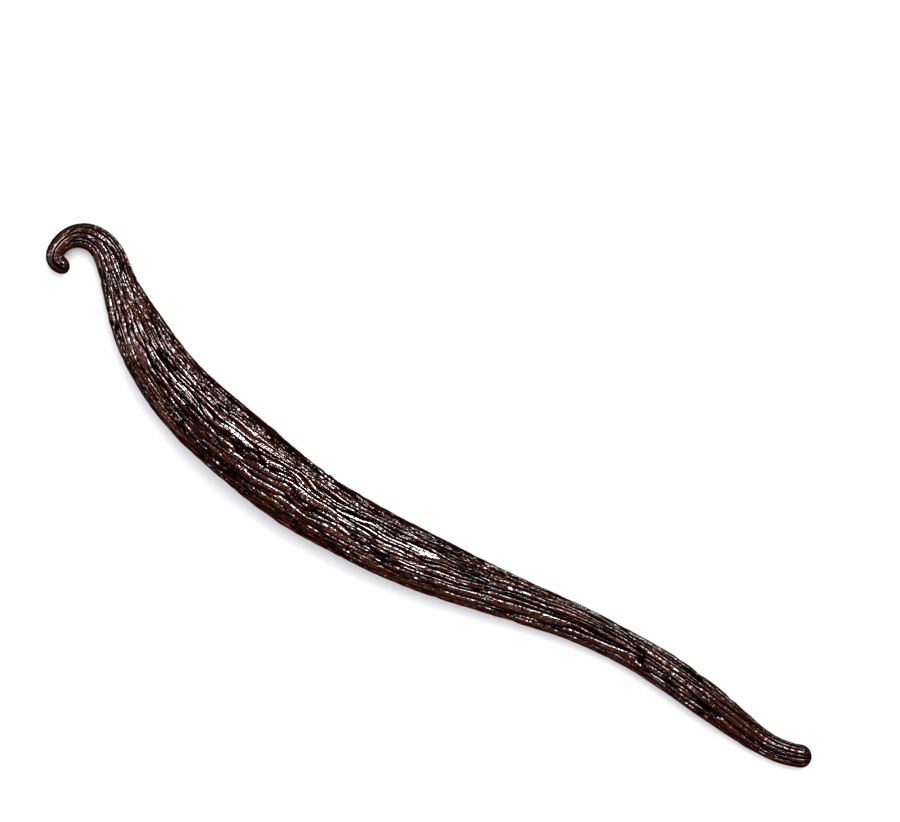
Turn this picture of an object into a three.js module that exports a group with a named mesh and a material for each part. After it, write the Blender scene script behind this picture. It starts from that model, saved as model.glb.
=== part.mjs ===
// A cured vanilla pod lying on its side, in millimetres, with +Z up.
//
// The pod is one solid: a rounded section swept along a centre line that lies flat above
// the floor. It starts at the tightly curled end of the stalk and runs along +X through the
// full body and the slender tail to the blunt blossom tip. Lengthwise folds run over the
// skin, and the underside is pressed flat where the pod rests.

import * as THREE from "three";

// ---- driving sizes ----

// Length along the centre line, with both rounded ends.
const POD_LENGTH = 169.8;

// Heading of the centre line at the curled end, in degrees counter-clockwise from +X.
const START_HEADING = 217.3;

// Every bend turns the centre line by `turn` degrees, spread over `length` from `at`.
const BENDS = [
  { name: "tight curl", at: 0, length: 5, turn: -102.4 },
  { name: "hook of the stalk", at: 0, length: 18.9, turn: -159.5 },
  { name: "shoulder", at: 7, length: 44.2, turn: 28.8 },
  { name: "bow of the body", at: 28.9, length: 80, turn: 27.1 },
  { name: "droop of the tail", at: 115.2, length: 36.1, turn: -15.6 },
  { name: "flick of the tip", at: 156.5, length: 20, turn: 48.9 },
];

// Radii of the two rounded ends in plan.
const STALK_END_RADIUS = 1.47;
const TIP_RADIUS = 1.93;

// Half of the pod's width in plan, at distances along the centre line.
const HALF_WIDTHS = [
  { name: "curled end", at: 0, half: STALK_END_RADIUS },
  { name: "inside of the curl", at: 5, half: 1.53 },
  { name: "hook", at: 10, half: 2.12 },
  { name: "stalk", at: 17, half: 2.7 },
  { name: "neck", at: 21.5, half: 3.1 },
  { name: "shoulder", at: 31, half: 4.6 },
  { name: "upper body", at: 42, half: 5.4 },
  { name: "fullest place", at: 57, half: 6.0 },
  { name: "lower body", at: 78, half: 5.5 },
  { name: "start of the taper", at: 95, half: 4.9 },
  { name: "tail", at: 112, half: 3.6 },
  { name: "slender tail", at: 128, half: 3.0 },
  { name: "end of the tail", at: 148, half: 2.97 },
  { name: "neck of the tip", at: 161, half: 2.1 },
  { name: "blossom tip", at: POD_LENGTH, half: TIP_RADIUS },
];

// The section's height as a share of its width.
const FLATNESS = 0.8;

// Share of the section's lower half that stays above the floor before it is pressed flat.
const PRESSED = 0.93;

// How far the curled end and the tip stand off the floor, and over what length they rise.
const CURL_LIFT = { height: 1.1, length: 20 };
const TIP_LIFT = { height: 0.5, length: 12 };

// Lengthwise folds: `count` round the pod, `depth` as a share of the half width, `turns` of
// slow twist along the pod, and a sway of `sway` radians each `wave` millimetres.
const FOLDS = [
  { count: 2, depth: 0.03, turns: 0.3, phase: 0.6, sway: 0.5, wave: 61 },
  { count: 3, depth: 0.03, turns: -0.4, phase: 2.2, sway: 0.7, wave: 47 },
  { count: 5, depth: 0.026, turns: 0.6, phase: 4.1, sway: 0.8, wave: 36 },
  { count: 7, depth: 0.022, turns: -0.5, phase: 1.3, sway: 0.9, wave: 29 },
  { count: 9, depth: 0.018, turns: 0.4, phase: 5.2, sway: 1.0, wave: 23 },
  { count: 12, depth: 0.014, turns: -0.3, phase: 3.0, sway: 1.1, wave: 19 },
];

// Folds swell and sink along the pod between this share and all of their depth.
const FOLD_LEAST = 0.35;

// The folds are shallow on the stalk and at the tip, and grow over these lengths.
const STALK_FOLDS = { share: 0.3, from: 8, to: 30 };
const TIP_FOLDS = { share: 0.4, length: 14 };

// Share of the folds' depth that is left on the underside.
const UNDERSIDE_FOLDS = 0.4;

// ---- mesh fineness ----

const AROUND = 48;
const CAP_RINGS = 5;
const BODY_RINGS = 110;
const LINE_STEP = 0.05;

// Rings are set closer where the line turns: this many degrees count as one millimetre.
const DEGREES_AS_MILLIMETRE = 5;

const SKIN = new THREE.MeshStandardMaterial({ color: 0x2c130a, roughness: 0.35, metalness: 0 });

// ---- form ----

const { smoothstep, degToRad, lerp } = THREE.MathUtils;

// Heading of the centre line in degrees, after the share of every bend passed so far.
function headingAt(distance) {
  const turned = BENDS.map(
    (bend) => bend.turn * smoothstep(distance, bend.at, bend.at + bend.length),
  );
  return turned.reduce((sum, turn) => sum + turn, START_HEADING);
}

// The centre line in plan, as one point for each LINE_STEP of its length.
function centreLine() {
  const steps = Math.round(POD_LENGTH / LINE_STEP);
  const points = [new THREE.Vector2(0, 0)];
  for (let i = 0; i < steps; i += 1) {
    const heading = degToRad(headingAt((i + 0.5) * LINE_STEP));
    const stride = new THREE.Vector2(Math.cos(heading), Math.sin(heading));
    points.push(points[i].clone().addScaledVector(stride, LINE_STEP));
  }
  return points;
}

// A smooth curve through the widths, whose slope at each comes from its two neighbours.
function halfWidthAt(distance) {
  const last = HALF_WIDTHS.length - 1;
  const next = HALF_WIDTHS.findIndex((width, i) => i > 0 && distance <= width.at);
  const end = next < 0 ? last : next;
  const slopeAt = (i) => {
    const before = HALF_WIDTHS[Math.max(i - 1, 0)];
    const after = HALF_WIDTHS[Math.min(i + 1, last)];
    return (after.half - before.half) / (after.at - before.at);
  };
  const from = HALF_WIDTHS[end - 1];
  const to = HALF_WIDTHS[end];
  const span = to.at - from.at;
  const t = (distance - from.at) / span;
  const rise = to.half - from.half;
  const bow = (1 - t) * (slopeAt(end - 1) * span - rise) - t * (slopeAt(end) * span - rise);
  return from.half + t * rise + t * (1 - t) * bow;
}

// Share of the full section at a distance: it closes to a half circle at each end.
function endRounding(distance) {
  const intoStalkEnd = 1 - distance / STALK_END_RADIUS;
  const intoTip = 1 - (POD_LENGTH - distance) / TIP_RADIUS;
  const into = Math.max(intoStalkEnd, intoTip, 0);
  return Math.sqrt(1 - into * into);
}

// The folds' share of the half width, at a distance and an angle round the section.
function foldsAt(distance, angle) {
  const fromTip = POD_LENGTH - distance;
  const stalkGrowth = smoothstep(distance, STALK_FOLDS.from, STALK_FOLDS.to);
  const stalkShare = lerp(STALK_FOLDS.share, 1, stalkGrowth);
  const tipShare = lerp(TIP_FOLDS.share, 1, smoothstep(fromTip, 0, TIP_FOLDS.length));
  const underShare = lerp(UNDERSIDE_FOLDS, 1, smoothstep(Math.sin(angle), -1, 0));
  let height = 0;
  for (const fold of FOLDS) {
    const along = (2 * Math.PI * distance) / fold.wave;
    const twist = (2 * Math.PI * fold.turns * distance) / POD_LENGTH;
    const sway = fold.sway * Math.sin(along + fold.phase);
    const swell = lerp(FOLD_LEAST, 1, 0.5 + 0.5 * Math.cos(along / 2 + 2 * fold.phase));
    height += fold.depth * swell * Math.cos(fold.count * angle + twist + sway + fold.phase);
  }
  return height * stalkShare * tipShare * underShare;
}

// How far the underside is off the floor.
function liftAt(distance) {
  const atCurl = CURL_LIFT.height * (1 - smoothstep(distance, 0, CURL_LIFT.length));
  const atTip = TIP_LIFT.height * (1 - smoothstep(POD_LENGTH - distance, 0, TIP_LIFT.length));
  return atCurl + atTip;
}

// Distances of a rounded end's rings from its pole, even in angle.
function capDistances(radius) {
  const angles = Array.from({ length: CAP_RINGS }, (_, i) => (i + 1) / (CAP_RINGS + 1));
  return angles.map((share) => radius * (1 - Math.cos((share * Math.PI) / 2)));
}

// Distances of the rings between the rounded ends, closer together in tight bends.
function bodyDistances() {
  const start = STALK_END_RADIUS;
  const length = POD_LENGTH - STALK_END_RADIUS - TIP_RADIUS;
  const steps = Math.round(length / LINE_STEP);
  const step = length / steps;
  const travelled = [0];
  for (let i = 0; i < steps; i += 1) {
    const turned = Math.abs(headingAt(start + (i + 1) * step) - headingAt(start + i * step));
    travelled.push(travelled[i] + step + turned / DEGREES_AS_MILLIMETRE);
  }
  const distances = [];
  let i = 0;
  for (let ring = 0; ring < BODY_RINGS; ring += 1) {
    const goal = (travelled[steps] * ring) / (BODY_RINGS - 1);
    while (i < steps && travelled[i] < goal) {
      i += 1;
    }
    distances.push(start + i * step);
  }
  return distances;
}

// Distances of all the rings, from the curled end to the tip.
function ringDistances() {
  const tipCap = capDistances(TIP_RADIUS).map((fromTip) => POD_LENGTH - fromTip);
  return [...capDistances(STALK_END_RADIUS), ...bodyDistances(), ...tipCap.reverse()];
}

// One ring of points round the centre line, pressed flat where it would pass the floor.
function ringPoints(line, distance) {
  const exact = distance / LINE_STEP;
  const before = Math.min(Math.floor(exact), line.length - 2);
  const centre = line[before].clone().lerp(line[before + 1], exact - before);
  const heading = degToRad(headingAt(distance));
  const side = new THREE.Vector2(-Math.sin(heading), Math.cos(heading));
  const half = halfWidthAt(distance);
  const middle = half * FLATNESS * PRESSED + liftAt(distance);
  const rounding = endRounding(distance);
  const points = [];
  for (let i = 0; i < AROUND; i += 1) {
    const angle = (2 * Math.PI * i) / AROUND;
    const reach = half * rounding * (1 + foldsAt(distance, angle));
    const plan = centre.clone().addScaledVector(side, reach * Math.cos(angle));
    const height = middle + reach * FLATNESS * Math.sin(angle);
    points.push(new THREE.Vector3(plan.x, plan.y, Math.max(height, 0)));
  }
  return points;
}

// The pole of a rounded end, on the centre line.
function polePoint(line, distance) {
  const place = line[distance > 0 ? line.length - 1 : 0];
  const height = halfWidthAt(distance) * FLATNESS * PRESSED + liftAt(distance);
  return new THREE.Vector3(place.x, place.y, height);
}

// Triangles over the rings, closed by a fan at each pole.
function skinTriangles(ringCount) {
  const startPole = ringCount * AROUND;
  const endPole = startPole + 1;
  const lastRing = (ringCount - 1) * AROUND;
  const triangles = [];
  for (let i = 0; i < AROUND; i += 1) {
    const next = (i + 1) % AROUND;
    triangles.push(startPole, next, i);
    triangles.push(endPole, lastRing + i, lastRing + next);
    for (let ring = 0; ring < ringCount - 1; ring += 1) {
      const near = ring * AROUND;
      const far = near + AROUND;
      triangles.push(near + i, near + next, far + next);
      triangles.push(near + i, far + next, far + i);
    }
  }
  return triangles;
}

function podGeometry() {
  const line = centreLine();
  const distances = ringDistances();
  const points = distances.flatMap((distance) => ringPoints(line, distance));
  points.push(polePoint(line, 0), polePoint(line, POD_LENGTH));
  const geometry = new THREE.BufferGeometry().setFromPoints(points);
  geometry.setIndex(skinTriangles(distances.length));

  // The origin is the middle of the box in plan, on the floor.
  geometry.computeBoundingBox();
  const middle = geometry.boundingBox.getCenter(new THREE.Vector3());
  geometry.translate(-middle.x, -middle.y, 0);
  geometry.computeVertexNormals();
  return geometry;
}

// ---- scene graph ----

const pod = new THREE.Mesh(podGeometry(), SKIN);
pod.name = "pod";

const part = new THREE.Group();
part.add(pod);

export default part;
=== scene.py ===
"""A cured vanilla pod: a long, wrinkled, glossy dark brown pod with a curled stalk end.

Laid out as a Blender add-on and run as a script. Lengths of the form are in millimetres
along and across the pod, and every Blender object is in metres.
"""

import itertools
import math

import bpy
import numpy as np
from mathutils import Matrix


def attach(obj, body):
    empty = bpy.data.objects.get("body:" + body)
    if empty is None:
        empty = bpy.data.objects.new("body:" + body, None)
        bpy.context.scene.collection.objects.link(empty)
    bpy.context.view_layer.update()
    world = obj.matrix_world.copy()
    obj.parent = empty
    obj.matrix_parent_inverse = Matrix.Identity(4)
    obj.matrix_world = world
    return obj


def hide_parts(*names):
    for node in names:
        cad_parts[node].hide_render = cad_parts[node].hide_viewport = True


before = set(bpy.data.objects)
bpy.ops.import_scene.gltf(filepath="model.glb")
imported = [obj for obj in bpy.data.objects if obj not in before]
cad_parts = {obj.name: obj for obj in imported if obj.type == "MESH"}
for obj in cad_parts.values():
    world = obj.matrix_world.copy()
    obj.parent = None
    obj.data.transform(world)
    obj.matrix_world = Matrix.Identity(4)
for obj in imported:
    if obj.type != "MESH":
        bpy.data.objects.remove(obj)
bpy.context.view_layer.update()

bl_info = {
    "name": "Vanilla Pod",
    "version": (1, 0, 0),
    "blender": (4, 5, 0),
    "location": "View3D > Sidebar > Vanilla Pod",
    "description": "Builds a cured vanilla pod with a wrinkled, glossy skin",
    "category": "Add Mesh",
}

MM = 0.001

# ---- form of the pod, in millimetres and degrees, as the solid has it ----

POD_LENGTH = 169.8
START_HEADING = 217.3
STALK_END_RADIUS = 1.47
TIP_RADIUS = 1.93

# Each bend turns the centre line by `turn`, spread over `length` from `at`.
BENDS = (
    {"name": "tight curl", "at": 0, "length": 5, "turn": -102.4},
    {"name": "hook of the stalk", "at": 0, "length": 18.9, "turn": -159.5},
    {"name": "shoulder", "at": 7, "length": 44.2, "turn": 28.8},
    {"name": "bow of the body", "at": 28.9, "length": 80, "turn": 27.1},
    {"name": "droop of the tail", "at": 115.2, "length": 36.1, "turn": -15.6},
    {"name": "flick of the tip", "at": 156.5, "length": 20, "turn": 48.9},
)

# Half of the width in plan, at distances along the centre line.
HALF_WIDTHS = (
    {"name": "curled end", "at": 0, "half": STALK_END_RADIUS},
    {"name": "inside of the curl", "at": 5, "half": 1.53},
    {"name": "hook", "at": 10, "half": 2.12},
    {"name": "stalk", "at": 17, "half": 2.7},
    {"name": "neck", "at": 21.5, "half": 3.1},
    {"name": "shoulder", "at": 31, "half": 4.6},
    {"name": "upper body", "at": 42, "half": 5.4},
    {"name": "fullest place", "at": 57, "half": 6.0},
    {"name": "lower body", "at": 78, "half": 5.5},
    {"name": "start of the taper", "at": 95, "half": 4.9},
    {"name": "tail", "at": 112, "half": 3.6},
    {"name": "slender tail", "at": 128, "half": 3.0},
    {"name": "end of the tail", "at": 148, "half": 2.97},
    {"name": "neck of the tip", "at": 161, "half": 2.1},
    {"name": "blossom tip", "at": POD_LENGTH, "half": TIP_RADIUS},
)

FULLEST_AT = 57
FLATNESS = 0.8
PRESSED = 0.93
CURL_LIFT = {"height": 1.1, "length": 20}
TIP_LIFT = {"height": 0.5, "length": 12}

# Broad lengthwise folds, as the solid has them.
FOLDS = (
    {"count": 2, "depth": 0.03, "turns": 0.3, "phase": 0.6, "sway": 0.5, "wave": 61},
    {"count": 3, "depth": 0.03, "turns": -0.4, "phase": 2.2, "sway": 0.7, "wave": 47},
    {"count": 5, "depth": 0.026, "turns": 0.6, "phase": 4.1, "sway": 0.8, "wave": 36},
    {"count": 7, "depth": 0.022, "turns": -0.5, "phase": 1.3, "sway": 0.9, "wave": 29},
    {"count": 9, "depth": 0.018, "turns": 0.4, "phase": 5.2, "sway": 1.0, "wave": 23},
    {"count": 12, "depth": 0.014, "turns": -0.3, "phase": 3.0, "sway": 1.1, "wave": 19},
)
FOLD_LEAST = 0.35
STALK_FOLDS = {"share": 0.3, "from": 8, "to": 30}
TIP_FOLDS = {"share": 0.4, "length": 14}
UNDERSIDE_FOLDS = 0.4

# ---- wrinkles of the skin, in millimetres where nothing else is said ----

# The pattern shrinks with the pod past its fullest place, by this power of its width.
PATTERN = {"scale": 1.09, "power": 0.3}

# The ridges wind round the pod with one slow turn and a sway, both in radians.
WIND = {"turn": 0.5, "stretch": (55, 120), "sway": 0.12, "wave": 9.0}

# The ridges wander from straight and ripple, over patches of these sizes.
WANDER = {"reach": 0.8, "patch": (6, 6, 20)}
RIPPLE = {"reach": 0.2, "body_reach": 0.4, "patch": (2.6, 2.6, 5.0)}

# Past this distance the ridges run on longer, by this share of the distance.
TAIL_STRETCH = {"past": 85, "share": 0.5}

# Stretches over which one part of the pod changes into the next.
TO_BODY = (25, 50)
OFF_BODY = (78, 105)
OFF_HOOK = (6, 10)
OFF_STALK = (10, 24)
TO_TAIL = (85, 115)

# The wrinkles start at this share of their depth at both ends, over these lengths.
CALM_ENDS = {"share": 0.4, "stalk": 26, "tip": 10}

# The furrows' half width, how long a ridge is for its width, and how steep the sides are.
FURROW = {"half": 0.13, "length": 14, "power": 1.7}

# The lines between furrows: `width` is a share of a ridge's, and `lost` their share that
# is missing on the stalk and the tail.
LINE = {"half": 0.095, "length": 16, "power": 1.7, "width": 0.52, "lost": 0.85}

# The share of a ridge's width over which its side rounds off, the line ridges' share of
# the roundness, and how many times rounder the stalk and the tail are.
FLANK = {"reach": 0.45, "line_share": 0.5, "slender": 1.5}

# Furrows and lines fade to `least` in patches, between two levels of the noise.
DEEP = {"patch": (2.5, 2.5, 12), "levels": (-0.4, 0.4), "least": 0.3}
CUT = {"patch": (2.0, 2.0, 9), "levels": (-0.5, 0.3), "least": 0.35}

LUMPS = {"height": 0.04, "patch": (3.0, 3.0, 6.0)}
KNOB_PATCH = (1.3, 1.3, 1.5)

# The crest is a band along the top with flatter ridges. Its angle and reach are in radians
# from the pod's left side, and the rest are shares that it takes away, or has on the hook.
CREST = {
    "angle": 1.3,
    "reach": 0.45,
    "flatter": 1.0,
    "shallower": 0.3,
    "plainer": 0.85,
    "hook": 0.8,
}

# How much painted shade a shallow furrow and a line get, as shares of a deep furrow's; the same
# shares take away their gloss.
DARKNESS = {"shallow": 0.5, "line": 0.75}

# Shares of oil on the left side, the tail, the tip, the stalk's end and the stalk.
OIL = {"left_loss": 0.5, "left": (0.5, 0.85), "tail": 0.62, "tip": 0.5}
OIL_ON_STALK = {"end": 0.5, "off_end": (1, 4), "stalk": 0.82, "off_stalk": (14, 30)}

# Each pattern reads the noise at its own shift.
SHIFT = {
    "wander": 10,
    "line": 50,
    "ripple": 60,
    "lumps": 120,
    "deep": 130,
    "cut": 150,
    "knobs": 190,
    "next_axis": 20,
}

# How far the tops of the ridges stand over the solid's surface, and how soon the wrinkles
# reach their full depth past the rounded ends.
RIDGE_RISE = 0.09
WRINKLE_GROWTH = 1.6

# ---- fine grain of the skin: cells or waves in a millimetre, across and along ----

SCORING = (0.9, 0.9, 1.25)
SCORED_PATCHES = (0.5, 0.5, 0.25)
WAVES = (1.5, 1.5, 0.18)
PEBBLES = (1.15, 1.15, 0.9)
MOTTLE = (1.0, 1.0, 0.6)
TONES = (0.8, 0.8, 0.09)
BLOTCHES = (0.36, 0.36, 0.13)
GRAIN_HEIGHT = 0.035

# ---- fineness of the skin's mesh ----

AROUND = 288
CROWDING_ON_TOP = 0.3
CAP_RINGS = 10
BODY_RINGS = 322
LINE_STEP = 0.02
DEGREES_AS_MILLIMETRE = 12
UV_STRIPS = 3
UV_MARGIN = 0.006


# ---- settings that a user would change ----


class PodSettings(bpy.types.PropertyGroup):
    """Sizes of the wrinkles and colours of the skin."""

    ridge_width: bpy.props.FloatProperty(
        name="Ridge Width",
        description="Width of one lengthwise ridge, in millimetres",
        default=1.15,
        min=0.5,
        max=5.0,
    )
    furrow_depth: bpy.props.FloatProperty(
        name="Furrow Depth",
        description="Depth of the main furrows between ridges, in millimetres",
        default=0.36,
        min=0.0,
        max=1.0,
    )
    line_depth: bpy.props.FloatProperty(
        name="Line Depth",
        description="Depth of the fine lines between the furrows, in millimetres",
        default=0.12,
        min=0.0,
        max=0.5,
    )
    knob_height: bpy.props.FloatProperty(
        name="Knob Height",
        description="Height of the small knobs along the ridges, in millimetres",
        default=0.05,
        min=0.0,
        max=0.3,
    )
    roundness: bpy.props.FloatProperty(
        name="Roundness",
        description="How far the sides of a ridge round off below its top, in millimetres",
        default=0.18,
        min=0.0,
        max=0.6,
    )
    seed: bpy.props.IntProperty(
        name="Seed",
        description="Chooses one pattern of wrinkles",
        default=11,
        min=0,
    )
    skin: bpy.props.FloatVectorProperty(
        name="Skin",
        description="Reddish brown of the ridges",
        subtype="COLOR",
        size=3,
        default=(0.032, 0.0048, 0.0022),
    )
    shade: bpy.props.FloatVectorProperty(
        name="Shade",
        description="Blackish brown of the darker ridges",
        subtype="COLOR",
        size=3,
        default=(0.009, 0.0019, 0.0011),
    )
    # Painted glow: an orange brown for light shining through the skin, laid on in patches.
    painted_glow_colour: bpy.props.FloatVectorProperty(
        name="Warm Patches",
        description="Orange brown where the skin is thin",
        subtype="COLOR",
        size=3,
        default=(0.074, 0.0142, 0.0024),
    )
    # Painted shade: the near black that the skin's material paints into the furrows, lines,
    # cracks and the bump's hollows, where shade falls.
    furrow: bpy.props.FloatVectorProperty(
        name="Furrows",
        description="Near black at the bottom of the furrows",
        subtype="COLOR",
        size=3,
        default=(0.0012, 0.0005, 0.0004),
    )


class StageSettings(bpy.types.PropertyGroup):
    """Floor, lights and camera."""

    floor: bpy.props.FloatVectorProperty(
        name="Floor",
        description="Colour of the floor",
        subtype="COLOR",
        size=3,
        default=(0.9, 0.9, 0.9),
    )
    camera_height: bpy.props.FloatProperty(
        name="Camera Height",
        description="Height of the camera over the pod",
        subtype="DISTANCE",
        unit="LENGTH",
        default=0.7,
    )


# ---- curves of the form ----


def smoothstep(value, low, high):
    share = np.clip((value - low) / (high - low), 0, 1)
    return share * share * (3 - 2 * share)


def mix(low, high, share):
    return low + (high - low) * share


def heading_at(distance):
    """Heading of the centre line in degrees."""
    heading = np.full(np.shape(distance), START_HEADING, dtype=float)
    for bend in BENDS:
        heading += bend["turn"] * smoothstep(distance, bend["at"], bend["at"] + bend["length"])
    return heading


def half_width_at(distance):
    """A smooth curve through the widths, whose slope at each comes from its neighbours."""
    at = np.array([width["at"] for width in HALF_WIDTHS], dtype=float)
    half = np.array([width["half"] for width in HALF_WIDTHS])
    before = np.maximum(np.arange(len(at)) - 1, 0)
    after = np.minimum(np.arange(len(at)) + 1, len(at) - 1)
    slope = (half[after] - half[before]) / (at[after] - at[before])
    left = np.clip(np.searchsorted(at, distance) - 1, 0, len(at) - 2)
    span = at[left + 1] - at[left]
    rise = half[left + 1] - half[left]
    share = (distance - at[left]) / span
    bow = (1 - share) * (slope[left] * span - rise) - share * (slope[left + 1] * span - rise)
    return half[left] + share * rise + share * (1 - share) * bow


def rounding_at(distance):
    """Share of the full section: it closes to a half circle at each end."""
    into_stalk_end = 1 - distance / STALK_END_RADIUS
    into_tip = 1 - (POD_LENGTH - distance) / TIP_RADIUS
    into = np.maximum(np.maximum(into_stalk_end, into_tip), 0)
    return np.sqrt(np.maximum(1 - into * into, 0))


def lift_at(distance):
    """How far the underside is off the floor."""
    at_curl = CURL_LIFT["height"] * (1 - smoothstep(distance, 0, CURL_LIFT["length"]))
    at_tip = TIP_LIFT["height"] * (1 - smoothstep(POD_LENGTH - distance, 0, TIP_LIFT["length"]))
    return at_curl + at_tip


def folds_at(distance, angle):
    """The broad folds, as a share of the half width."""
    stalk_growth = smoothstep(distance, STALK_FOLDS["from"], STALK_FOLDS["to"])
    stalk_share = mix(STALK_FOLDS["share"], 1, stalk_growth)
    tip_growth = smoothstep(POD_LENGTH - distance, 0, TIP_FOLDS["length"])
    tip_share = mix(TIP_FOLDS["share"], 1, tip_growth)
    under_share = mix(UNDERSIDE_FOLDS, 1, smoothstep(np.sin(angle), -1, 0))
    height = 0
    for fold in FOLDS:
        along = 2 * math.pi * distance / fold["wave"]
        twist = 2 * math.pi * fold["turns"] * distance / POD_LENGTH
        sway = fold["sway"] * np.sin(along + fold["phase"])
        swell = mix(FOLD_LEAST, 1, 0.5 + 0.5 * np.cos(along / 2 + 2 * fold["phase"]))
        round_pod = fold["count"] * angle + twist + sway + fold["phase"]
        height += fold["depth"] * swell * np.cos(round_pod)
    return height * stalk_share * tip_share * under_share


def centre_line(distances):
    """Points of the centre line in plan, at the distances."""
    steps = round(POD_LENGTH / LINE_STEP)
    middles = (np.arange(steps) + 0.5) * LINE_STEP
    heading = np.radians(heading_at(middles))
    line_at = np.arange(steps + 1) * LINE_STEP
    x = np.concatenate([[0], np.cumsum(np.cos(heading)) * LINE_STEP])
    y = np.concatenate([[0], np.cumsum(np.sin(heading)) * LINE_STEP])
    return np.interp(distances, line_at, x), np.interp(distances, line_at, y)


def ring_distances():
    """Distances of the rings: even in angle over the ends, closer together in bends."""
    angles = (np.arange(CAP_RINGS) + 1) / (CAP_RINGS + 1) * math.pi / 2
    stalk_cap = STALK_END_RADIUS * (1 - np.cos(angles))
    tip_cap = POD_LENGTH - TIP_RADIUS * (1 - np.cos(angles))
    body = np.arange(STALK_END_RADIUS, POD_LENGTH - TIP_RADIUS, LINE_STEP)
    turned = np.abs(np.gradient(heading_at(body), LINE_STEP))
    travelled = np.cumsum(1 + turned / DEGREES_AS_MILLIMETRE)
    goals = np.linspace(travelled[0], travelled[-1], BODY_RINGS)
    return np.concatenate([stalk_cap, np.interp(goals, travelled, body), tip_cap[::-1]])


# ---- noise for the wrinkles ----


class Noise:
    """Smooth noise and cell patterns over points in space, the same for the same seed."""

    SIZE = 256
    SPREAD = 1.8
    FAR = 99.0

    def __init__(self, seed):
        draw = np.random.default_rng(seed)
        self.order = draw.permutation(self.SIZE)
        self.directions = draw.normal(size=(self.SIZE, 3))
        self.directions /= np.linalg.norm(self.directions, axis=1, keepdims=True)
        self.places = draw.random((self.SIZE, 3))

    def _pick(self, cell):
        index = self.order[cell[:, 0] % self.SIZE]
        index = self.order[(index + cell[:, 1]) % self.SIZE]
        return self.order[(index + cell[:, 2]) % self.SIZE]

    def smooth(self, points):
        """Gradient noise, about -1 to 1."""
        cell = np.floor(points).astype(int)
        inside = points - cell
        ease = inside**3 * (inside * (inside * 6 - 15) + 10)
        total = np.zeros(len(points))
        for corner in itertools.product((0, 1), repeat=3):
            direction = self.directions[self._pick(cell + corner)]
            weight = np.where(corner, ease, 1 - ease).prod(axis=1)
            total += weight * (direction * (inside - corner)).sum(axis=1)
        return total * self.SPREAD

    def edges(self, points, size, outward):
        """Distance over the skin from the nearest wall between cells of this size."""
        scaled = points / size
        cell = np.floor(scaled).astype(int)
        away = []
        for step in itertools.product((-1, 0, 1), repeat=3):
            neighbour = cell + step
            away.append(neighbour + self.places[self._pick(neighbour)] - scaled)
        reach = np.array([np.linalg.norm(place, axis=1) for place in away])
        home = reach.argmin(axis=0)
        own = np.array(away)[home, np.arange(len(points))]
        wall = np.full(len(points), self.FAR)
        for index, place in enumerate(away):
            across = place - own
            slope = across / size
            slope -= (slope * outward).sum(axis=1, keepdims=True) * outward
            steepness = np.linalg.norm(slope, axis=1)
            to_wall = ((own + place) * across).sum(axis=1) / (2 * np.maximum(steepness, 1e-9))
            wall = np.where(home == index, wall, np.minimum(wall, to_wall))
        return wall


# ---- skin of the pod ----


def pattern_scale(distance):
    """Length on the skin of one millimetre of the wrinkle pattern across the pod."""
    thinner = half_width_at(np.maximum(distance, FULLEST_AT)) / half_width_at(FULLEST_AT)
    return PATTERN["scale"] * thinner ** PATTERN["power"]


def wrinkle_points(distance, angle):
    """Places on a tube whose pattern follows the skin, in millimetres."""
    grown = half_width_at(distance) / pattern_scale(distance)
    slant = WIND["turn"] * smoothstep(distance, *WIND["stretch"])
    slant = slant + WIND["sway"] * np.sin(distance / WIND["wave"])
    turned = angle + slant
    return np.stack([grown * np.cos(turned), grown * np.sin(turned), distance], axis=1)


def bent_places(noise, places, distance):
    """The places moved sideways as the ridges wander, and the same drawn out on the tail."""
    body = smoothstep(distance, *TO_BODY) * (1 - smoothstep(distance, *OFF_BODY))
    bent = places.copy()
    for axis in (0, 1):
        shift = SHIFT["next_axis"] * axis
        wander = noise.smooth(places / WANDER["patch"] + SHIFT["wander"] + shift)
        ripple = noise.smooth(places / RIPPLE["patch"] + SHIFT["ripple"] + shift)
        rippled = mix(RIPPLE["reach"], RIPPLE["body_reach"], body) * ripple
        bent[:, axis] += WANDER["reach"] * wander + rippled
    drawn_out = bent.copy()
    past = np.maximum(distance - TAIL_STRETCH["past"], 0)
    drawn_out[:, 2] -= TAIL_STRETCH["share"] * past
    return bent, drawn_out


def furrows(gap, cut):
    """Share of a furrow's depth at a distance from its middle."""
    return np.exp(-((gap / cut["half"]) ** cut["power"]))


def flanks(gap, width):
    """Share of the way down a ridge's side: 0 on its top and 1 in the furrow."""
    return 1 - np.clip(gap / (FLANK["reach"] * width), 0, 1)


def faded(noise, places, fade, shift):
    """Share of the depth that is left in patches."""
    level = noise.smooth(places / fade["patch"] + shift)
    return mix(fade["least"], 1, smoothstep(level, *fade["levels"]))


def oil_at(distance, angle, tail, calm_tip):
    """Share of the gloss that the skin has."""
    oily = 1 - OIL["left_loss"] * smoothstep(np.cos(angle), *OIL["left"])
    oily *= mix(1, OIL["tail"], tail) * mix(OIL["tip"], 1, calm_tip)
    off_end = smoothstep(distance, *OIL_ON_STALK["off_end"])
    off_stalk = smoothstep(distance, *OIL_ON_STALK["off_stalk"])
    return oily * mix(OIL_ON_STALK["end"], 1, off_end) * mix(OIL_ON_STALK["stalk"], 1, off_stalk)


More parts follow.
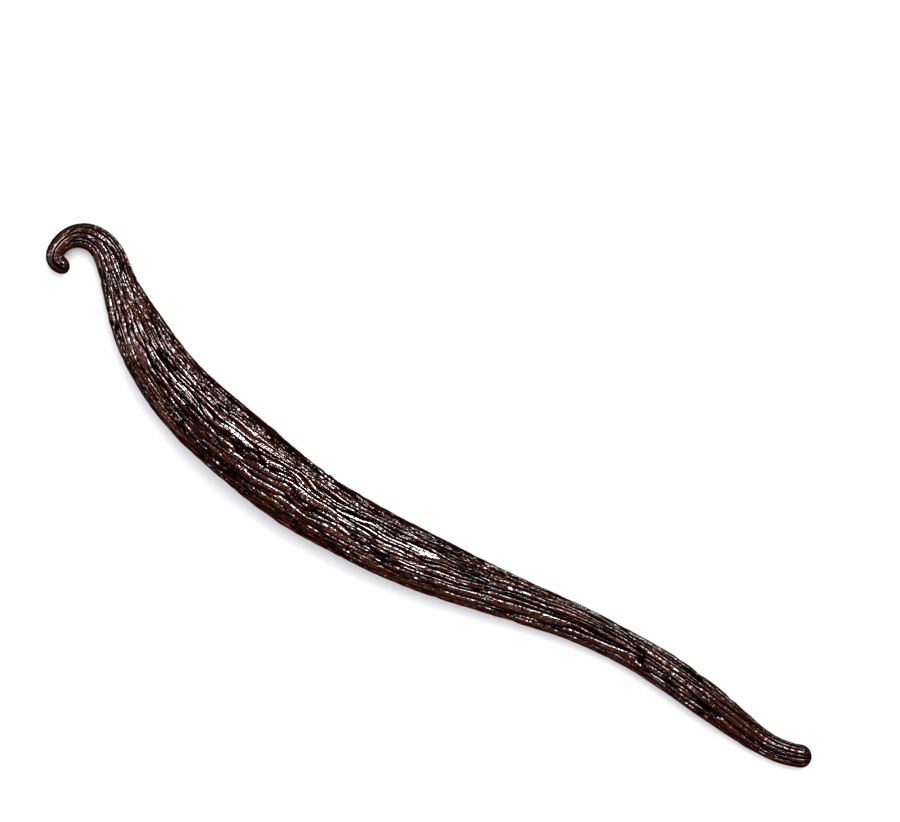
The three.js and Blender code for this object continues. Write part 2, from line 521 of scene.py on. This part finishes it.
def wrinkles(distance, angle, settings):
    """Depth of the skin under its base form in millimetres, places in the pattern that
    are bent as the ridges are, and the shares of crest, oil, and of painted shade and lost gloss
    in the furrows and lines."""
    noise = Noise(settings.seed)
    places = wrinkle_points(distance, angle)
    outward = places * (1, 1, 0)
    outward /= np.linalg.norm(outward, axis=1, keepdims=True)
    bent, drawn_out = bent_places(noise, places, distance)

    stalk = 1 - smoothstep(distance, *OFF_STALK)
    tail = smoothstep(distance, *TO_TAIL)
    slender = np.maximum(tail, stalk)
    hook = 1 - smoothstep(distance, *OFF_HOOK)
    crest = np.exp(-(((angle - CREST["angle"]) / CREST["reach"]) ** 2)) * (1 - stalk) * (1 - tail)
    crest = np.maximum(crest, CREST["hook"] * hook)
    calm_stalk = smoothstep(distance, 0, CALM_ENDS["stalk"])
    calm_tip = smoothstep(POD_LENGTH - distance, 0, CALM_ENDS["tip"])
    strength = mix(CALM_ENDS["share"], 1, calm_stalk) * mix(CALM_ENDS["share"], 1, calm_tip)

    scale = pattern_scale(distance)
    width = settings.ridge_width
    cells = (width, width, width * FURROW["length"])
    gap = scale * noise.edges(drawn_out, cells, outward)
    furrow = furrows(gap, FURROW)
    flank = flanks(gap, width * scale)

    thin = LINE["width"] * width
    cells = (thin, thin, thin * LINE["length"])
    line_gap = scale * noise.edges(drawn_out + SHIFT["line"], cells, outward)
    few = 1 - LINE["lost"] * slender
    line = furrows(line_gap, LINE) * few
    line_flank = flanks(line_gap, thin * scale)

    lumps = LUMPS["height"] * noise.smooth(places / LUMPS["patch"] + SHIFT["lumps"])
    knobs = settings.knob_height * noise.smooth(bent / KNOB_PATCH + SHIFT["knobs"])
    deep = faded(noise, places, DEEP, SHIFT["deep"])
    cut = faded(noise, places, CUT, SHIFT["cut"])

    round_top = settings.roundness * (1 - CREST["flatter"] * crest)
    depth = settings.furrow_depth * furrow * deep * (1 - CREST["shallower"] * crest)
    depth += settings.line_depth * line * cut * (1 - furrow)
    depth += round_top * mix(1, FLANK["slender"], slender) * flank**2
    depth += FLANK["line_share"] * round_top * line_flank**2 * few
    depth -= lumps + knobs * (1 - CREST["plainer"] * crest)

    # Painted shade and lost gloss: the share of the furrows and lines that the skin's material
    # turns near black and matte.
    dark = np.maximum(furrow * mix(DARKNESS["shallow"], 1, deep), DARKNESS["line"] * line * cut)
    oily = oil_at(distance, angle, tail, calm_tip)
    return depth * strength, bent, {"furrow": dark, "crest": crest, "oily": oily}


def skin_points(settings):
    """All points of the skin in metres, ring by ring and then the two poles, with the
    place in the pattern and the shares of every point."""
    distances = ring_distances()
    rings = len(distances)
    distance = np.repeat(distances, AROUND)
    turn = 2 * math.pi * np.arange(AROUND) / AROUND
    angle = np.tile(turn + CROWDING_ON_TOP * np.cos(turn), rings)
    distance = np.append(distance, [0.0, POD_LENGTH])
    angle = np.append(angle, [0.0, 0.0])

    x, y = centre_line(distance)
    heading = np.radians(heading_at(distance))
    half = half_width_at(distance)
    rounding = rounding_at(distance)
    middle = half * FLATNESS * PRESSED + lift_at(distance)
    reach = half * rounding * (1 + folds_at(distance, angle))
    depth, places, shares = wrinkles(distance, angle, settings)

    rest_height = np.maximum(middle + reach * FLATNESS * np.sin(angle), 0)
    across = reach * np.cos(angle)
    sunk = (depth - RIDGE_RISE) * np.minimum(rounding * WRINKLE_GROWTH, 1)
    across = across - sunk * np.cos(angle)
    height = rest_height - sunk * np.sin(angle)
    x = x - np.sin(heading) * across
    y = y + np.cos(heading) * across
    points = np.stack([x, y, np.maximum(height, 0)], axis=1)

    base_x = x + np.sin(heading) * (across - reach * np.cos(angle))
    base_y = y - np.cos(heading) * (across - reach * np.cos(angle))
    points[:, 0] -= (base_x.min() + base_x.max()) / 2
    points[:, 1] -= (base_y.min() + base_y.max()) / 2
    return points * MM, places, shares, rings


def skin_faces(rings):
    """Four-sided faces over the rings and a fan of triangles at each pole."""
    ring, step = np.meshgrid(np.arange(rings - 1), np.arange(AROUND), indexing="ij")
    near = ring * AROUND
    following = (step + 1) % AROUND
    quads = np.stack(
        [near + step, near + following, near + AROUND + following, near + AROUND + step], axis=2
    ).reshape(-1, 4)
    around = np.arange(AROUND)
    after = (around + 1) % AROUND
    start_pole = rings * AROUND
    last = (rings - 1) * AROUND
    start = np.stack([np.full(AROUND, start_pole), after, around], axis=1)
    end = np.stack([np.full(AROUND, start_pole + 1), last + around, last + after], axis=1)
    return quads.tolist() + start.tolist() + end.tolist()


def skin_uvs(rings):
    """Places on the texture: the pod cut into strips that lie one over the other."""
    distances = ring_distances()
    cuts = np.searchsorted(distances, POD_LENGTH * np.arange(1, UV_STRIPS) / UV_STRIPS)
    edges = np.concatenate([[0], cuts, [rings - 1]])
    strip = np.searchsorted(edges, np.arange(rings - 1), side="right") - 1
    room = 1 / UV_STRIPS
    ring, step = np.meshgrid(np.arange(rings - 1), np.arange(AROUND), indexing="ij")
    first = distances[edges[strip]]
    length = distances[edges[strip + 1]] - first
    near = (distances[:-1] - first) / length
    far = (distances[1:] - first) / length
    across = 1 - 2 * UV_MARGIN
    left = (UV_MARGIN + across * near)[ring]
    right = (UV_MARGIN + across * far)[ring]
    base = (strip * room + UV_MARGIN)[ring]
    tall = room - 2 * UV_MARGIN
    low = base + tall * step / AROUND
    high = base + tall * (step + 1) / AROUND
    quads = np.stack(
        [
            np.stack([left, low], axis=2),
            np.stack([left, high], axis=2),
            np.stack([right, high], axis=2),
            np.stack([right, low], axis=2),
        ],
        axis=2,
    ).reshape(-1, 2)
    around = np.arange(AROUND)
    low = UV_MARGIN + tall * around / AROUND
    high = UV_MARGIN + tall * (around + 1) / AROUND
    edge = np.full(AROUND, UV_MARGIN)
    pole = np.full(AROUND, UV_MARGIN / 2)
    start = np.stack([pole, (low + high) / 2, edge, high, edge, low], axis=1).reshape(-1, 2)
    top = (UV_STRIPS - 1) * room
    edge = np.full(AROUND, 1 - UV_MARGIN)
    pole = np.full(AROUND, 1 - UV_MARGIN / 2)
    end = np.stack([pole, top + (low + high) / 2, edge, top + low, edge, top + high], axis=1)
    return np.concatenate([quads, start, end.reshape(-1, 2)])


# ---- shader maths ----


class Value:
    """A socket of a shader, so that shader maths reads as Python."""

    def __init__(self, shader, socket):
        self.shader = shader
        self.socket = socket

    def _math(self, operation, first, second):
        return self.shader.node("ShaderNodeMath", {"operation": operation}, [first, second])

    def __add__(self, other):
        return self._math("ADD", self, other)

    def __radd__(self, other):
        return self._math("ADD", other, self)

    def __sub__(self, other):
        return self._math("SUBTRACT", self, other)

    def __rsub__(self, other):
        return self._math("SUBTRACT", other, self)

    def __mul__(self, other):
        return self._math("MULTIPLY", self, other)

    def __rmul__(self, other):
        return self._math("MULTIPLY", other, self)


class Shader:
    """A new material, its node tree and the ways to add to it."""

    def __init__(self, name):
        self.material = bpy.data.materials.new(name)
        self.material.use_nodes = True
        self.tree = self.material.node_tree
        self.tree.nodes.clear()

    def node(self, kind, settings=None, inputs=None, output=0):
        """Adds a node: its settings first, then values or links by socket name or order."""
        node = self.tree.nodes.new(kind)
        for name, value in (settings or {}).items():
            if name == "stops":
                self._set_stops(node.color_ramp, value)
            else:
                setattr(node, name, value)
        named = inputs.items() if isinstance(inputs, dict) else enumerate(inputs or [])
        for key, value in named:
            if isinstance(value, Value):
                self.tree.links.new(value.socket, node.inputs[key])
            else:
                node.inputs[key].default_value = value
        return Value(self, node.outputs[output]) if node.outputs else None

    @staticmethod
    def _set_stops(ramp, stops):
        while len(ramp.elements) > len(stops):
            ramp.elements.remove(ramp.elements[-1])
        while len(ramp.elements) < len(stops):
            ramp.elements.new(1.0)
        for element, (position, level) in zip(ramp.elements, stops):
            element.position = position
            element.color = (level, level, level, 1.0)

    def attribute(self, name, output="Fac"):
        return self.node("ShaderNodeAttribute", {"attribute_name": name}, output=output)

    def mix(self, factor, first, second):
        """A colour between two colours."""
        colours = [as_colour(colour) for colour in (first, second)]
        return self.node(
            "ShaderNodeMix",
            {"data_type": "RGBA"},
            {0: factor, 6: colours[0], 7: colours[1]},
            output=2,
        )

    def scaled(self, places, factors):
        """Places with each axis multiplied by its own factor."""
        return self.node(
            "ShaderNodeVectorMath", {"operation": "MULTIPLY"}, {0: places, 1: factors}
        )

    def noise(self, places, detail=2.0, roughness=0.5):
        return self.node(
            "ShaderNodeTexNoise",
            {"noise_dimensions": "3D"},
            {"Vector": places, "Scale": 1.0, "Detail": detail, "Roughness": roughness},
        )

    def cells(self, places, feature="DISTANCE_TO_EDGE", randomness=1.0):
        return self.node(
            "ShaderNodeTexVoronoi",
            {"feature": feature},
            {"Vector": places, "Scale": 1.0, "Randomness": randomness},
        )

    def ramp(self, value, stops):
        return self.node("ShaderNodeValToRGB", {"stops": stops}, [value])

    def surface(self, **sockets):
        """A surface, with its sockets given by name and `_` for a space."""
        inputs = {name.replace("_", " "): value for name, value in sockets.items()}
        return self.node("ShaderNodeBsdfPrincipled", None, inputs)

    def mix_surfaces(self, factor, first, second):
        return self.node("ShaderNodeMixShader", None, [factor, first, second])

    def finish(self, surface):
        self.node("ShaderNodeOutputMaterial", None, {"Surface": surface})
        return self.material


def as_colour(colour):
    return colour if isinstance(colour, Value) else (*colour, 1.0)


def pod_skin(settings):
    """Oily, nearly black brown skin: painted shade in the furrows, cracks and hollows, redder
    ridges and orange patches of painted glow.
    """
    shader = Shader("pod_skin")
    furrow = shader.attribute("furrow")
    crest = shader.attribute("crest")
    oily = shader.attribute("oily")
    places = shader.attribute("skin_place", "Vector")

    # Cracks: they sink into the bump, lose their gloss and get painted shade through the matte
    # layer.
    cells = shader.cells(shader.scaled(places, SCORING))
    cracks = shader.ramp(cells, [(0.0, 1.0), (0.09, 0.0)])
    some = shader.noise(shader.scaled(places, SCORED_PATCHES))
    some = shader.ramp(some, [(0.35, 0.0), (0.55, 1.0)])
    scored = cracks * some
    waves = shader.noise(shader.scaled(places, WAVES), detail=1.0)
    pebbles = shader.cells(shader.scaled(places, PEBBLES), "F1", 0.85)
    pebbles = shader.ramp(pebbles, [(0.0, 1.0), (0.25, 0.85), (0.6, 0.0)])
    mottle = shader.noise(shader.scaled(places, MOTTLE), detail=1.0)
    # Painted shade: a mask of the hollows in the mottled bump, where the colour goes towards near
    # black away from the crest.
    hollow_shade = shader.ramp(mottle, [(0.36, 1.0), (0.47, 0.0)])
    plain = 1.0 - crest

    tone = shader.noise(shader.scaled(places, TONES), detail=2.0)
    # Painted glow: orange brown patches that stand in for light shining through the skin, spread
    # at random over the pod.
    blotches = shader.noise(shader.scaled(places, BLOTCHES), detail=3.0)
    painted_glow_share = shader.ramp(blotches, [(0.42, 0.0), (0.62, 1.0)])
    lit = shader.ramp(tone, [(0.3, 0.0), (0.55, 1.0)])
    ridge = shader.mix(lit, settings.shade, settings.skin)
    ridge = shader.mix(painted_glow_share * 0.8, ridge, settings.painted_glow_colour)
    # Painted shade and lost gloss: how far the furrows and lines go near black and matte.
    dark = shader.ramp(furrow, [(0.09, 0.0), (0.42, 1.0)])
    colour = shader.mix(hollow_shade * plain * 0.6, ridge, settings.furrow)
    gloss = (1.0 - dark) * (1.0 - 0.85 * scored) * oily

    fine = waves * (0.9 + 0.2 * crest) + mottle * plain * 1.4
    fine = fine + pebbles * (1.0 - 0.85 * crest) * 1.9 - 1.2 * scored
    bump = shader.node(
        "ShaderNodeBump", None, {"Strength": 1.0, "Distance": GRAIN_HEIGHT * MM, "Height": fine}
    )
    # The matte layer is painted towards the furrows' near black where the gloss is low. This is
    # painted shade in the furrows and cracks, and the skin is also darker where it has less oil.
    matte = shader.surface(
        Base_Color=shader.mix(1.0 - gloss, colour, settings.furrow),
        Roughness=0.9,
        Normal=bump,
        Specular_IOR_Level=0.0,
    )
    wet = shader.surface(Base_Color=colour, Roughness=0.13, Normal=bump, IOR=1.6)
    return shader.finish(shader.mix_surfaces(gloss, matte, wet))


def floor_paint(settings):
    shader = Shader("floor_paint")
    places = shader.node("ShaderNodeTexCoord", output="Object")
    tone = shader.noise(shader.scaled(places, (2.0, 2.0, 2.0)))
    colour = shader.mix(tone * 0.04, settings.floor, (0.8, 0.8, 0.8))
    return shader.finish(shader.surface(Base_Color=colour, Roughness=0.9))


# ---- operators ----


class VANILLA_OT_make_pod(bpy.types.Operator):
    """Make the pod's wrinkled skin and its material."""

    bl_idname = "vanilla.make_pod"
    bl_label = "Make Pod"

    def execute(self, context):
        settings = context.scene.vanilla_pod
        points, places, shares, rings = skin_points(settings)
        mesh = bpy.data.meshes.new("pod_skin")
        mesh.from_pydata(points.tolist(), [], skin_faces(rings))
        mesh.shade_smooth()
        uvs = mesh.uv_layers.new(name="OFBake")
        uvs.data.foreach_set("uv", skin_uvs(rings).astype(np.float32).ravel())
        for name, share in shares.items():
            values = mesh.attributes.new(name, "FLOAT", "POINT").data
            values.foreach_set("value", share.astype(np.float32))
        tube = mesh.attributes.new("skin_place", "FLOAT_VECTOR", "POINT")
        tube.data.foreach_set("vector", places.astype(np.float32).ravel())
        mesh.materials.append(pod_skin(settings))
        pod = bpy.data.objects.new("pod_skin", mesh)
        context.collection.objects.link(pod)
        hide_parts("pod")
        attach(pod, "root")
        return {"FINISHED"}


class VANILLA_OT_make_stage(bpy.types.Operator):
    """Make the floor, the lights and the camera."""

    bl_idname = "vanilla.make_stage"
    bl_label = "Make Stage"

    FLOOR_HALF = 2.0
    FLOOR_GAP = 0.02 * MM
    FRAME_WIDTH = 0.1548
    LOOK_AT = (-0.0057, 0.01891, 0.004)
    ROLL = math.radians(32.7)
    # Lights, each with its place to the right, up and over the picture, size and power.
    # Glints are seen by the gloss alone, and fills give diffuse light alone.
    GLINT_TINT = (1.0, 0.915, 0.935)
    GLINTS = (
        ("key", (0.32, 0.47, 0.75), 0.28, 28.0),
        ("left", (-0.5, 0.25, 0.7), 0.26, 8.5),
        ("front", (-0.15, -0.4, 0.8), 0.06, 0.5),
        ("low right", (0.87, 0.15, 0.4), 0.35, 1.6),
        ("low top", (-0.22, 0.86, 0.4), 0.35, 1.6),
        ("low bottom", (0.22, -0.86, 0.4), 0.35, 1.2),
        ("low left", (-0.87, -0.15, 0.4), 0.35, 1.2),
    )
    FILL_TINT = (1.0, 1.0, 1.0)
    FILLS = (
        ("fill from the top", (0.2, 0.5, 1.0), 0.9, 12.0),
        ("fill from below", (-0.4, -0.5, 0.9), 0.9, 4.0),
    )
    SKY = (0.95, 0.95, 1.0)
    SKY_STRENGTH = 0.8

    def execute(self, context):
        settings = context.scene.vanilla_stage
        self.make_floor(context, settings)
        self.make_camera(context, settings)
        up = (-math.sin(self.ROLL), math.cos(self.ROLL))
        right = (math.cos(self.ROLL), math.sin(self.ROLL))
        for light in self.GLINTS:
            glint = self.make_softbox(context, light, self.GLINT_TINT, right, up)
            glint.visible_diffuse = False
        for light in self.FILLS:
            fill = self.make_softbox(context, light, self.FILL_TINT, right, up)
            fill.visible_glossy = False
        self.make_world(context)
        context.scene.view_settings.view_transform = "Standard"
        return {"FINISHED"}

    def make_floor(self, context, settings):
        reach = self.FLOOR_HALF
        square = ((-reach, -reach), (reach, -reach), (reach, reach), (-reach, reach))
        corners = [(x, y, -self.FLOOR_GAP) for x, y in square]
        mesh = bpy.data.meshes.new("floor")
        mesh.from_pydata(corners, [], [(0, 1, 2, 3)])
        mesh.materials.append(floor_paint(settings))
        floor = bpy.data.objects.new("floor", mesh)
        floor.visible_glossy = False
        context.collection.objects.link(floor)

    def make_camera(self, context, settings):
        camera = bpy.data.cameras.new("camera")
        camera.lens = camera.sensor_width * settings.camera_height / self.FRAME_WIDTH
        holder = bpy.data.objects.new("camera", camera)
        x, y, z = self.LOOK_AT
        holder.location = (x, y, z + settings.camera_height)
        holder.rotation_euler = (0, 0, self.ROLL)
        context.collection.objects.link(holder)
        context.scene.camera = holder

    def make_softbox(self, context, settings, tint, right, up):
        """A square soft light aimed at the pod."""
        name, place, size, power = settings
        light = bpy.data.lights.new(name, "AREA")
        light.shape = "SQUARE"
        light.size = size
        light.energy = power
        light.color = tint
        holder = bpy.data.objects.new(name, light)
        x = right[0] * place[0] + up[0] * place[1]
        y = right[1] * place[0] + up[1] * place[1]
        holder.location = (x, y, place[2])
        holder.rotation_mode = "QUATERNION"
        holder.rotation_quaternion = holder.location.to_track_quat("Z", "Y")
        holder.visible_camera = False
        context.collection.objects.link(holder)
        return holder

    def make_world(self, context):
        world = bpy.data.worlds.new("studio")
        world.use_nodes = True
        background = world.node_tree.nodes["Background"]
        background.inputs["Color"].default_value = as_colour(self.SKY)
        background.inputs["Strength"].default_value = self.SKY_STRENGTH
        world.cycles_visibility.glossy = False
        context.scene.world = world


class VANILLA_PT_panel(bpy.types.Panel):
    """Lists the pod's operators and settings."""

    bl_idname = "VANILLA_PT_panel"
    bl_label = "Vanilla Pod"
    bl_space_type = "VIEW_3D"
    bl_region_type = "UI"
    bl_category = "Vanilla Pod"

    def draw(self, context):
        column = self.layout.column()
        for name in PodSettings.__annotations__:
            column.prop(context.scene.vanilla_pod, name)
        column.operator(VANILLA_OT_make_pod.bl_idname)
        for name in StageSettings.__annotations__:
            column.prop(context.scene.vanilla_stage, name)
        column.operator(VANILLA_OT_make_stage.bl_idname)


CLASSES = (
    PodSettings,
    StageSettings,
    VANILLA_OT_make_pod,
    VANILLA_OT_make_stage,
    VANILLA_PT_panel,
)


def register():
    for made in CLASSES:
        bpy.utils.register_class(made)
    bpy.types.Scene.vanilla_pod = bpy.props.PointerProperty(type=PodSettings)
    bpy.types.Scene.vanilla_stage = bpy.props.PointerProperty(type=StageSettings)


def unregister():
    del bpy.types.Scene.vanilla_stage
    del bpy.types.Scene.vanilla_pod
    for made in reversed(CLASSES):
        bpy.utils.unregister_class(made)


def main():
    register()
    bpy.ops.vanilla.make_pod()
    bpy.ops.vanilla.make_stage()


if __name__ == "__main__":
    main()
